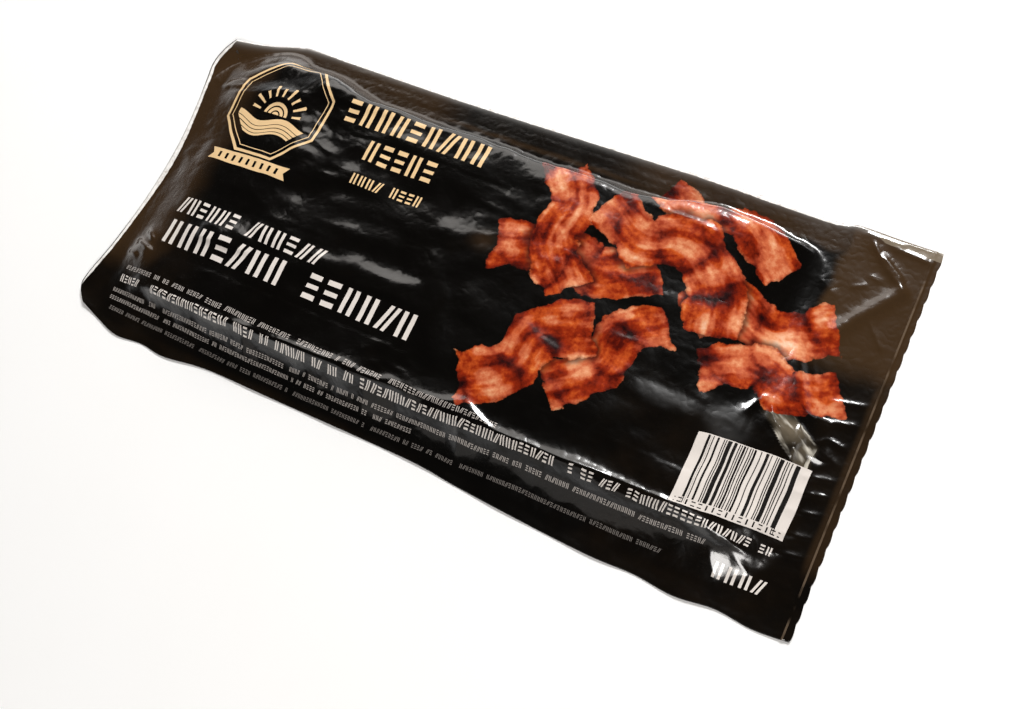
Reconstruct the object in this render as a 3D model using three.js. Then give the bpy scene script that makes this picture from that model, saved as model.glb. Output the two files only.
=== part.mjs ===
// A flat vacuum pack of sliced bacon: a printed film drawn down over a slab of rashers and
// welded all round to a backing film, so that the slab stands in a thin flat border.
// The pack lies flat. X runs along it, Y runs up its print, Z is up. Millimetres.
// The origin is on the surface that it lies on, under the middle of the slab.
import * as THREE from 'three';

// The films and the slab
const BORDER_THICKNESS = 0.6; // the two films welded together
const SLAB_HEIGHT = 11; // top of the rashers, film included
const SLAB_SAG = 0.9; // how much lower the slab is at its ends than in its middle
const SKIRT_POWER = 1.6; // 1 is a straight slope from the slab to the border, more sags

// Where the top of the slab ends on each side, how far out the film then comes down, and the
// radius of the bend between
const FAR = { edge: 45.5, bulge: 4.5, bulgeFrom: 42, bulgeTo: 64, skirt: 5.5, round: 1.6 };
const FAR_LEFT = { bulge: 5.5, from: -84, to: -60 }; // the film stays high further out here
const NEAR = { edge: -44.2, skirt: 14.8, round: 1.6 };
const LEFT = { edge: -109.5, skirt: 17, round: 5 };
const RIGHT = { edge: 101, bulge: 9.5, bulgeFrom: 22, bulgeTo: -4, skirt: 10.5, round: 4 };
const FAR_RIGHT = { skirt: 22, round: 2.5 };
const LEFT_POWER = 1.1; // the slope at the left end is nearly straight

// How the slab thins towards its ends, and most of all at the far right corner
const THIN_LEFT = { from: 66, to: 118, drop: 3.2 }; // distances to the left of the origin
const THIN_RIGHT = { from: 78, to: 112, drop: 3.4 };
const THIN_CORNER = { from: 70, to: 104, nearFrom: -20, nearTo: 38, drop: 6.2 };
const CORNER = 13; // radius of the slab's corners, seen from above

// The film's border: its corners, and what the edges between them pass through
const CORNERS = {
  farLeft: [-128.8, 54],
  farRight: [129.8, 61.6],
  nearRight: [130.9, -62.4],
  nearLeft: [-128.3, -57.1],
};
const FAR_EDGE = [[-114, 57.2], [-104, 60.2], [-92, 61], [-30, 60.4], [60, 61.4], [96, 60.9],
  [104, 62], [116, 61.7]];
const LEFT_EDGE = [[-132.2, -52.5], [-132.7, -47.5], [-130.2, -33], [-128.6, -12], [-128.8, 12],
  [-131.4, 34], [-132.6, 42.5], [-131.3, 49]];
const NEAR_EDGE = [[-119, -60.4], [-110, -62.8], [-99.5, -62], [-89, -62.8], [-72, -60.7],
  [-45, -60.5], [5, -60.2], [24, -61.5], [46, -62.8], [70, -63.7], [84, -63.2], [97, -64.1],
  [109, -62.6], [120, -63.4]];
const TEETH = 22; // of the knife that cut the right end
const TOOTH_DEPTH = 0.35;

// The raised line that the sealing bar left along the right end
const SEAL = { inset: 2.4, halfWidth: 0.9, height: 0.45 };

// Edges that stand off the surface: the border is flat again this far in
const LIFT_REACH = 9;
const LEFT_LIFT = { height: 1.1, wave: 90, crest: 42 };
const NEAR_LIFT = { height: 0.45, wave: 31, crest: -84 };
const CORNER_LIFT = { height: 1.6, reach: 26 };

// Broad lumps of the rashers under the film: height, wavelengths along X and Y, and phase
const LUMPS = [
  { height: 0.35, waveX: 83, waveY: 61, phase: 0.4 },
  { height: 0.28, waveX: 47, waveY: 90, phase: 1.9 },
  { height: 0.22, waveX: 31, waveY: 39, phase: 3.1 },
];

// Folds of the film: from, to, height and half width
const FOLDS = [
  { from: [122, 45], to: [104, 15], height: 0.9, width: 2.4 }, // far right corner to slab
  { from: [109, 58.8], to: [124, 46], height: 0.8, width: 1.6 },
  { from: [100.5, -2], to: [109.8, -11.6], height: 0.8, width: 1.6 },
  { from: [109.8, -11.6], to: [121.5, -11.4], height: 0.7, width: 1.5 },
  { from: [58, -14.5], to: [84, -15.5], height: 0.8, width: 2.4 },
  { from: [4, -12], to: [29, -14], height: 0.6, width: 3 },
  { from: [-77, -4], to: [-57, -8], height: 0.6, width: 3 },
  { from: [-48, -10], to: [-22, -18], height: 0.6, width: 3 },
  { from: [-120, 37], to: [-78, 45], height: 0.7, width: 3.2 },
  { from: [-120, -23], to: [-112, -27], height: 0.6, width: 1.5 },
  { from: [-122, -33], to: [-110, -32], height: 0.6, width: 1.5 },
  { from: [12, -42], to: [18, -36], height: 0.9, width: 1.8 }, // a small peak of three
  { from: [18, -36], to: [26, -41], height: 0.9, width: 1.8 },
  { from: [18, -36], to: [20, -27], height: 0.6, width: 1.6 },
];
const BUMP = { at: [95, -14], halfLength: 8, halfWidth: 4, height: 1.1 };
const PLEATS = { first: 9, step: -6.2, count: 8, from: 115, to: 126, height: 0.6, width: 1.3 };

// The grid that carries the upper face
const COLUMNS = 64;
const ROWS = 2 * TEETH;
const FLAT_INSET = 10; // the flat underside starts this far in from the edge

const { lerp, smoothstep, clamp } = THREE.MathUtils;

// An edge of the border as a function of how far along it, 0 to 1
function edgeCurve(start, between, end) {
  const points = [start, ...between, end].map(([x, y]) => new THREE.Vector2(x, y));
  const curve = new THREE.SplineCurve(points);
  return (along) => curve.getPointAt(along);
}

const nearEdge = edgeCurve(CORNERS.nearLeft, NEAR_EDGE, CORNERS.nearRight);
const farEdge = edgeCurve(CORNERS.farLeft, FAR_EDGE, CORNERS.farRight);
const leftEdge = edgeCurve(CORNERS.nearLeft, LEFT_EDGE, CORNERS.farLeft);

function rightEdge(along) {
  const point = new THREE.Vector2(...CORNERS.nearRight)
    .lerp(new THREE.Vector2(...CORNERS.farRight), along);
  const isValley = Math.round(along * ROWS) % 2 === 1;
  point.x += isValley ? -TOOTH_DEPTH : 0;
  return point;
}

// A point of the pack, seen from above, on the patch that the four edges span
function footprint(u, v) {
  const point = nearEdge(u).multiplyScalar(1 - v)
    .add(farEdge(u).multiplyScalar(v))
    .add(leftEdge(v).multiplyScalar(1 - u))
    .add(rightEdge(v).multiplyScalar(u));
  const corners = new THREE.Vector2()
    .addScaledVector(new THREE.Vector2(...CORNERS.nearLeft), (1 - u) * (1 - v))
    .addScaledVector(new THREE.Vector2(...CORNERS.nearRight), u * (1 - v))
    .addScaledVector(new THREE.Vector2(...CORNERS.farLeft), (1 - u) * v)
    .addScaledVector(new THREE.Vector2(...CORNERS.farRight), u * v);
  return point.sub(corners);
}

// How much lower than its highest the top of the slab is
function slabSag(x, y) {
  const dish = SLAB_SAG * ((x / RIGHT.edge) ** 2 + (y / FAR.edge) ** 2) / 2;
  const corner = THIN_CORNER.drop * smoothstep(x, THIN_CORNER.from, THIN_CORNER.to)
    * smoothstep(y, THIN_CORNER.nearFrom, THIN_CORNER.nearTo);
  return dish + corner + THIN_LEFT.drop * smoothstep(-x, THIN_LEFT.from, THIN_LEFT.to)
    + THIN_RIGHT.drop * smoothstep(x, THIN_RIGHT.from, THIN_RIGHT.to);
}

// Height of the slab and of the film that slopes down from it, over the border
function slabHeight(x, y) {
  const far = FAR.edge + FAR.bulge * smoothstep(x, FAR.bulgeFrom, FAR.bulgeTo)
    + FAR_LEFT.bulge * (1 - smoothstep(x, FAR_LEFT.from, FAR_LEFT.to));
  const farRight = smoothstep(y, RIGHT.bulgeTo, RIGHT.bulgeFrom);
  const right = RIGHT.edge + RIGHT.bulge * (1 - farRight);
  const outX = Math.max(x - right, LEFT.edge - x) + CORNER;
  const outY = Math.max(y - far, NEAR.edge - y) + CORNER;
  const pastX = Math.max(outX, 0);
  const pastY = Math.max(outY, 0);
  const outside = Math.min(Math.max(outX, outY), 0) + Math.hypot(pastX, pastY) - CORNER;
  const turn = pastX + pastY > 0 ? pastX / (pastX + pastY) : 0.5;
  const blended = (size) => {
    const beside = x > 0 ? lerp(RIGHT[size], FAR_RIGHT[size], farRight) : LEFT[size];
    return lerp((y > 0 ? FAR : NEAR)[size], beside, turn);
  };
  const height = Math.max(SLAB_HEIGHT - slabSag(x, y) - BORDER_THICKNESS, 0.5);
  const shrink = x > 60 && y > 0 ? clamp(1.35 * height / SLAB_HEIGHT, 0.25, 1) : 1;
  const power = x < 0 ? lerp(SKIRT_POWER, LEFT_POWER, turn) : SKIRT_POWER;
  const rounded = (outside + Math.hypot(outside, blended('round') * shrink)) / 2;
  return height * (1 - clamp(rounded / (blended('skirt') * shrink), 0, 1)) ** power;
}

function lumpHeight(x, y) {
  const turn = 2 * Math.PI;
  return LUMPS.reduce((sum, { height, waveX, waveY, phase }) => (
    sum + height * Math.sin(turn * x / waveX + phase) * Math.cos(turn * y / waveY + phase)), 0);
}

// One fold: a soft ridge along a line, which dies out at both ends
function foldHeight(x, y, { from, to, height, width }) {
  const line = new THREE.Vector2(to[0] - from[0], to[1] - from[1]);
  const reach = new THREE.Vector2(x - from[0], y - from[1]);
  const along = reach.dot(line) / line.lengthSq();
  const away = Math.abs(reach.cross(line)) / line.length();
  const past = Math.max(-along, along - 1, 0) * line.length();
  const middle = Math.sin(Math.PI * clamp(along, 0.12, 0.88));
  return height * middle * Math.exp(-((away / width) ** 2) - (past / width) ** 2);
}

const pleats = Array.from({ length: PLEATS.count }, (_, index) => {
  const y = PLEATS.first + PLEATS.step * index;
  return { from: [PLEATS.from, y - 1], to: [PLEATS.to, y], height: PLEATS.height, width: PLEATS.width };
});

function bumpHeight(x, y) {
  const across = (x - BUMP.at[0]) / BUMP.halfLength;
  const up = (y - BUMP.at[1]) / BUMP.halfWidth;
  return BUMP.height * Math.exp(-(across ** 2) - up ** 2);
}

// How far the border stands off the surface, falling to nothing inwards from the edges
function edgeLift(x, y, inset) {
  const wave = (at, { wave: length, crest }) => (
    (1 + Math.cos(2 * Math.PI * (at - crest) / length)) / 2);
  const fall = (distance) => Math.max(0, 1 - distance / LIFT_REACH);
  const left = LEFT_LIFT.height * wave(y, LEFT_LIFT) * fall(inset.left);
  const near = NEAR_LIFT.height * wave(x, NEAR_LIFT) * fall(inset.near);
  const [cornerX, cornerY] = CORNERS.farLeft;
  const cornerNear = 1 - clamp(Math.hypot(x - cornerX, y - cornerY) / CORNER_LIFT.reach, 0, 1);
  const corner = CORNER_LIFT.height * cornerNear * fall(Math.min(inset.left, inset.far));
  return Math.max(left, near) + corner;
}

// How far a point of the grid is in from each edge
function insets(u, v) {
  const length = CORNERS.nearRight[0] - CORNERS.nearLeft[0];
  const width = CORNERS.farRight[1] - CORNERS.nearRight[1];
  return { left: u * length, right: (1 - u) * length, near: v * width, far: (1 - v) * width };
}

// One point of the upper face
function topPoint(u, v) {
  const { x, y } = footprint(u, v);
  const inset = insets(u, v);
  const edge = Math.min(inset.left, inset.right, inset.near, inset.far);
  const inland = smoothstep(edge, 0, 4);
  const seal = SEAL.height
    * Math.max(0, 1 - Math.abs(inset.right - SEAL.inset) / SEAL.halfWidth);
  const slab = slabHeight(x, y);
  const folds = [...FOLDS, ...pleats].reduce((sum, fold) => sum + foldHeight(x, y, fold), 0);
  const relief = lumpHeight(x, y) * slab / SLAB_HEIGHT + inland * (folds + bumpHeight(x, y));
  const z = edgeLift(x, y, inset) + BORDER_THICKNESS + slab + relief + seal;
  return [x, y, z];
}

// Grid lines across the pack: even, with extra ones at the seal's foot, crest and foot
function columnPositions() {
  const length = CORNERS.nearRight[0] - CORNERS.nearLeft[0];
  const { inset, halfWidth } = SEAL;
  const sealLines = [inset + halfWidth, inset, inset - halfWidth].map((d) => 1 - d / length);
  const even = Array.from({ length: COLUMNS + 1 }, (_, i) => i / COLUMNS);
  const clear = even.filter((u) => u === 1 || u < sealLines[0] - 1 / length);
  return [...clear, ...sealLines].sort((a, b) => a - b);
}

// The corners of the grid's rim in order, counter-clockwise seen from above, as [column, row]
function rimSteps(columns, rows) {
  const steps = [];
  for (let i = 0; i < columns; i += 1) steps.push([i, 0]);
  for (let j = 0; j < rows; j += 1) steps.push([columns, j]);
  for (let i = columns; i > 0; i -= 1) steps.push([i, rows]);
  for (let j = rows; j > 0; j -= 1) steps.push([0, j]);
  return steps;
}

// The whole pack as one closed body: upper face, thin wall of the border, and underside
function packGeometry() {
  const us = columnPositions();
  const columns = us.length - 1;
  const positions = [];
  const triangles = [];
  const addPoint = (point) => positions.push(point) - 1;
  const addQuad = (a, b, c, d) => triangles.push([a, b, c], [a, c, d]);

  const top = us.map((u) => (
    Array.from({ length: ROWS + 1 }, (_, j) => addPoint(topPoint(u, j / ROWS)))));
  for (let i = 0; i < columns; i += 1) {
    for (let j = 0; j < ROWS; j += 1) {
      addQuad(top[i][j], top[i + 1][j], top[i + 1][j + 1], top[i][j + 1]);
    }
  }

  // Underside: the lifted rim, and inside it the flat that the pack rests on
  const rim = rimSteps(columns, ROWS);
  const lower = [];
  const flat = [];
  for (const [i, j] of rim) {
    const [x, y, z] = positions[top[i][j]];
    lower.push(addPoint([x, y, z - BORDER_THICKNESS]));
    const { left, right, near, far } = insets(us[i], j / ROWS);
    const u = us[i] + (Math.max(0, FLAT_INSET - left) - Math.max(0, FLAT_INSET - right))
      / (left + right);
    const v = j / ROWS + (Math.max(0, FLAT_INSET - near) - Math.max(0, FLAT_INSET - far))
      / (near + far);
    const inner = footprint(u, v);
    flat.push(addPoint([inner.x, inner.y, 0]));
  }
  rim.forEach(([i, j], step) => {
    const next = (step + 1) % rim.length;
    const [nextI, nextJ] = rim[next];
    addQuad(lower[step], lower[next], top[nextI][nextJ], top[i][j]);
    addQuad(flat[step], flat[next], lower[next], lower[step]);
  });
  const outline = flat.map((index) => new THREE.Vector2(...positions[index]));
  for (const [a, b, c] of THREE.ShapeUtils.triangulateShape(outline, [])) {
    triangles.push([flat[c], flat[b], flat[a]]);
  }

  const geometry = new THREE.BufferGeometry();
  geometry.setAttribute('position', new THREE.Float32BufferAttribute(positions.flat(), 3));
  geometry.setIndex(triangles.flat());
  geometry.computeVertexNormals();
  return geometry;
}

// Near-black gloss film
const filmMaterial = new THREE.MeshStandardMaterial({
  color: 0x14100c,
  roughness: 0.22,
  metalness: 0,
});

const pack = new THREE.Mesh(packGeometry(), filmMaterial);
pack.name = 'pack';

const model = new THREE.Group();
model.add(pack);

export default model;
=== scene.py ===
# %% [markdown]
# # A flat vacuum pack of sliced bacon
# The real object is a slab of rashers between two films. The upper film is printed nearly
# black, drawn down over the slab and welded to the backing film all round, so a thin border
# lies flat on the table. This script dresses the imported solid, which is already the right
# size and in the right place, and it works in millimetres, because films are thin.

# %% The frame
import math

import bmesh
import bpy
import numpy as np
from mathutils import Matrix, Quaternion, Vector, noise


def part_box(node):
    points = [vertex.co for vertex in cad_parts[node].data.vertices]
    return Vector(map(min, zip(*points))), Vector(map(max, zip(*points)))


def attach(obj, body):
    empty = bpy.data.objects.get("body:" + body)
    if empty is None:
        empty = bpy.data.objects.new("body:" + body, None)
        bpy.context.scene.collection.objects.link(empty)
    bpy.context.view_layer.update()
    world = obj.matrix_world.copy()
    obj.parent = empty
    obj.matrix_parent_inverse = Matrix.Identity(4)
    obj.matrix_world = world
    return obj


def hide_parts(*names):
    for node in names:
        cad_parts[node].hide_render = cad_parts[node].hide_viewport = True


MM = 0.001
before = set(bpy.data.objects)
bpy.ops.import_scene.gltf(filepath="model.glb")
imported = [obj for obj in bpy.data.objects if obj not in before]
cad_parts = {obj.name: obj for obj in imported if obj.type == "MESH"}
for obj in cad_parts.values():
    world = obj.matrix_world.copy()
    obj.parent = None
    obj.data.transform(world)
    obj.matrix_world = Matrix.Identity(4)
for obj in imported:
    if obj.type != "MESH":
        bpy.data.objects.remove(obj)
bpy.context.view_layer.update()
low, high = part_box("pack")
print("solid, mm:", [round((b - a) / MM, 1) for a, b in zip(low, high)])

# %% [markdown]
# ## The camera
# The pack is seen from above its near right side. A camera could be placed by hand, but one
# that is built from the point it looks at, its distance, two angles and a roll about its own
# axis is easy to read and to change. Its roll turns the pack across the picture.

# %% Camera
LOOKS_AT = Vector((23.3, -17.8, 5.0)) * MM
DISTANCE = 345.7 * MM
AZIMUTH, ELEVATION, ROLL = math.radians(55.55), math.radians(67.05), math.radians(-31.2)
LENS, SENSOR = 39.35, 36.0

camera_data = bpy.data.cameras.new("camera")
camera_data.lens, camera_data.sensor_width = LENS, SENSOR
camera_data.clip_start, camera_data.clip_end = 0.01, 20.0
camera = bpy.data.objects.new("camera", camera_data)
bpy.context.collection.objects.link(camera)
bpy.context.scene.camera = camera

looks = Vector((
    -math.sin(AZIMUTH) * math.cos(ELEVATION),
    math.cos(AZIMUTH) * math.cos(ELEVATION),
    -math.sin(ELEVATION),
))
camera.rotation_mode = "QUATERNION"
camera.rotation_quaternion = looks.to_track_quat("-Z", "Y") @ Quaternion((0, 0, 1), ROLL)
camera.location = LOOKS_AT - looks * DISTANCE
print("camera at, mm:", [round(c / MM, 1) for c in camera.location])

# %% [markdown]
# ## The shape of the film
# The film is one height over every point of the table, so formulas can say its shape: the
# slab and the slope round it, the broad lumps of the rashers, a list of folds, and the lifted
# edges. The main sizes are those of the solid. The folds are long thin ridges. A real fold has
# a sharp crest and hollow sides, which is what makes it glint, so its profile falls off
# exponentially instead of in a round bump.

# %% Sizes of the films and the slab
BORDER_THICKNESS = 0.2
SLAB_HEIGHT = 11.0
TOP_LEVEL, TOP_SPARE = 11.0, 0.6      # nothing rises more than the spare above the level
SLAB_SAG = 0.9
THINNEST = 0.5
THIN_LEFT = dict(start=-66.0, stop=-118.0, drop=3.2)
THIN_RIGHT = dict(start=78.0, stop=112.0, drop=3.4)
THIN_CORNER = dict(start=72.0, stop=97.0, low=-20.0, high=38.0, drop=7.2)
SKIRT_POWER, END_POWER = 1.6, 1.1
CORNER = 13.0
FAR = dict(edge=44.6, bulge=4.5, start=42.0, stop=64.0, skirt=4.9, round=0.9)
FAR_LEFT = dict(bulge=5.5, start=-84.0, stop=-60.0)
NEAR = dict(edge=-44.2, skirt=14.8, round=1.6)
LEFT = dict(inset=20.0, skirt=18.0, round=5.0)
RIGHT = dict(edge=101.0, bulge=9.5, start=-4.0, stop=22.0, skirt=10.5, round=4.0)
FAR_RIGHT = dict(skirt=22.0, round=2.5)
EDGE_WANDER, EDGE_RIPPLE = 1.2, 0.5
print("slab, mm:", round(FAR["edge"] - NEAR["edge"], 1), "wide,", SLAB_HEIGHT, "thick")

# %% [markdown]
# ## The outline of the border
# The welded border is cut straight, but the films have slackened since, so its edges wave. A
# few points measured along each edge, joined by a smooth curve, say that with little typing.
# The right end was cut by a toothed blade.

# %% Outline of the border
CORNERS = dict(far_left=(-128.8, 54.0), far_right=(129.8, 61.6),
               near_right=(130.9, -62.4), near_left=(-128.3, -57.1))
FAR_EDGE = [(-114, 57.2), (-104, 60.2), (-92, 61), (-30, 60.4), (60, 61.4), (96, 60.9),
            (104, 62), (116, 61.7)]
LEFT_EDGE = [(-132.2, -52.5), (-132.7, -47.5), (-130.2, -33), (-128.6, -12), (-128.8, 12),
             (-131.4, 34), (-132.6, 42.5), (-131.3, 49)]
NEAR_EDGE = [(-119, -60.4), (-110, -62.8), (-99.5, -62), (-89, -62.8), (-72, -60.7),
             (-45, -60.5), (5, -60.2), (24, -61.5), (46, -62.8), (70, -63.7), (84, -63.2),
             (97, -64.1), (109, -62.6), (120, -63.4)]
TEETH, TOOTH_DEPTH, TOOTH_REACH = 22, 0.4, 0.015
LINE_POINTS = 2000


def smooth_line(start, between, end, count):
    """Evenly spaced points along a smooth curve through the given ones."""
    through = np.array([start, start, *between, end, end], float)
    place = np.linspace(0, len(between) + 1 - 1e-9, 4000)
    step = place.astype(int)
    t = (place - step)[:, None]
    a, b, c, d = (through[step + k] for k in range(4))
    line = 0.5 * (2 * b + (c - a) * t + (2 * a - 5 * b + 4 * c - d) * t**2
                  + (3 * b - a - 3 * c + d) * t**3)
    run = np.concatenate([[0], np.cumsum(np.hypot(*np.diff(line, axis=0).T))])
    even = np.linspace(0, run[-1], count)
    return np.stack([np.interp(even, run, line[:, k]) for k in (0, 1)], axis=1)


far_line = smooth_line(CORNERS["far_left"], FAR_EDGE, CORNERS["far_right"], LINE_POINTS)
near_line = smooth_line(CORNERS["near_left"], NEAR_EDGE, CORNERS["near_right"], LINE_POINTS)
left_line = smooth_line(CORNERS["near_left"], LEFT_EDGE, CORNERS["far_left"], LINE_POINTS)
right_line = smooth_line(CORNERS["near_right"], [], CORNERS["far_right"], LINE_POINTS)
print("outline, mm:", far_line.max(axis=0).round(1), near_line.min(axis=0).round(1))


def along(line, t):
    """Points at fractions t of a line."""
    even = np.linspace(0, 1, len(line))
    return np.stack([np.interp(t, even, line[:, k]) for k in (0, 1)], axis=-1)


def footprint(u, v):
    """Places seen from above, on the patch that the four edges span, with a toothed right end."""
    u2, v2 = u[:, None], v[:, None]
    near_left, near_right, far_left, far_right = (
        np.array(CORNERS[name]) for name in ("near_left", "near_right", "far_left", "far_right"))
    place = ((1 - v2) * along(near_line, u) + v2 * along(far_line, u)
             + (1 - u2) * along(left_line, v) + u2 * along(right_line, v)
             - (1 - u2) * (1 - v2) * near_left - u2 * (1 - v2) * near_right
             - (1 - u2) * v2 * far_left - u2 * v2 * far_right)
    scallop = np.abs(np.sin(math.pi * ((v * TEETH) % 1) ** 0.7))
    at_end = np.clip((u - (1 - TOOTH_REACH)) / TOOTH_REACH, 0, 1)
    place[:, 0] -= TOOTH_DEPTH * (1 - scallop) * at_end
    return place


# %% Distances from the edges
def smoothstep(low, high, value):
    """0 at low, 1 at high, smooth between. It falls where low is the greater."""
    t = np.clip((value - low) / (high - low), 0, 1)
    return t * t * (3 - 2 * t)


def insets(x, y):
    """How far in places are from the left, right, near and far edge."""
    return (x - np.interp(y, left_line[:, 1], left_line[:, 0]),
            np.interp(y, right_line[:, 1], right_line[:, 0]) - x,
            y - np.interp(x, near_line[:, 0], near_line[:, 1]),
            np.interp(x, far_line[:, 0], far_line[:, 1]) - y)


print("middle to the four edges, mm:", [round(float(inset), 1) for inset in insets(0.0, 0.0)])

# %% [markdown]
# ## The slab under the film
# The rashers lie as one flat slab, thin at its ends, and the film slopes down from it to the
# border. One number, how far outside the slab's top a place is, gives the whole slope. The far
# side drops steeply, the near side runs out long, and the corners blend the two.

# %% The slab and its slopes
def noise_field(x, y, wave_x, wave_y, seed):
    """Smooth noise from about -1 to 1, with features of the given lengths."""
    return np.array([noise.noise((a, b, seed)) for a, b in zip(x / wave_x, y / wave_y)])


def far_side(x):
    """Where the slab's far edge is. It is bowed out at both ends."""
    return (FAR["edge"] + FAR["bulge"] * smoothstep(FAR["start"], FAR["stop"], x)
            + FAR_LEFT["bulge"] * (1 - smoothstep(FAR_LEFT["start"], FAR_LEFT["stop"], x)))


def slab_edges(x, y):
    """How far outside the top of the slab places are, and the slope's width, bend and power."""
    right = RIGHT["edge"] + RIGHT["bulge"] * (1 - smoothstep(RIGHT["start"], RIGHT["stop"], y))
    out_x = np.maximum(x - right, LEFT["inset"] - insets(x, y)[0]) + CORNER
    out_y = np.maximum(y - far_side(x), NEAR["edge"] - y) + CORNER
    past_x, past_y = np.maximum(out_x, 0), np.maximum(out_y, 0)
    outside = np.minimum(np.maximum(out_x, out_y), 0) + np.hypot(past_x, past_y) - CORNER
    outside += EDGE_WANDER * noise_field(x, y, 21, 21, 77.7)
    outside += EDGE_RIPPLE * noise_field(x, y, 6, 9, 31.3)
    total = past_x + past_y
    turn = np.where(total > 0, past_x / np.maximum(total, 1e-6), 0.5)

    far_right = smoothstep(RIGHT["start"], RIGHT["stop"], y)

    def blended(name):
        right_side = RIGHT[name] + (FAR_RIGHT[name] - RIGHT[name]) * far_right
        at_end = np.where(x > 0, right_side, LEFT[name])
        at_side = np.where(y > 0, FAR[name], NEAR[name])
        return at_side + (at_end - at_side) * turn

    power = SKIRT_POWER + (END_POWER - SKIRT_POWER) * turn * (x < 0)
    return outside, blended("skirt"), blended("round"), power


def slab_height(x, y):
    """Height of the slab with its slopes, before the film's own relief."""
    outside, skirt, bend, power = slab_edges(x, y)
    sag = SLAB_SAG * ((x / RIGHT["edge"]) ** 2 + (y / FAR["edge"]) ** 2) / 2
    for end in (THIN_LEFT, THIN_RIGHT):
        sag += end["drop"] * smoothstep(end["start"], end["stop"], x)
    sag += (THIN_CORNER["drop"] * smoothstep(THIN_CORNER["start"], THIN_CORNER["stop"], x)
            * smoothstep(THIN_CORNER["low"], THIN_CORNER["high"], y))
    height = np.maximum(SLAB_HEIGHT - sag - BORDER_THICKNESS, THINNEST)
    shrink = np.where((x > 60) & (y > 0), np.clip(1.35 * height / SLAB_HEIGHT, 0.25, 1), 1)
    skirt, bend = skirt * shrink, bend * shrink
    rounded = (outside + np.hypot(outside, bend)) / 2
    return height * (1 - np.clip(rounded / skirt, 0, 1)) ** power


print("far side of the slab, mm:", far_side(np.array([-100.0, 0.0, 80.0])).round(1))


# %% [markdown]
# ## Folds, swells and shelves
# Slack film does three things. It stands up in narrow folds, it swells over what is under it,
# and it leans as a flat between two folds. Sculpting all this by hand could not be repeated,
# so each kind is a list of lines on the pack and one formula for the film beside such a line.

# %% Beside a line
def beside(x, y, x0, y0, x1, y1):
    """How far places are along a line from end to end, to the left of it, and past its ends."""
    length = math.hypot(x1 - x0, y1 - y0)
    ahead = ((x - x0) * (x1 - x0) + (y - y0) * (y1 - y0)) / length
    left_of = ((y - y0) * (x1 - x0) - (x - x0) * (y1 - y0)) / length
    past = np.maximum(np.maximum(-ahead, ahead - length), 0)
    return ahead, left_of, past, length


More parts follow.
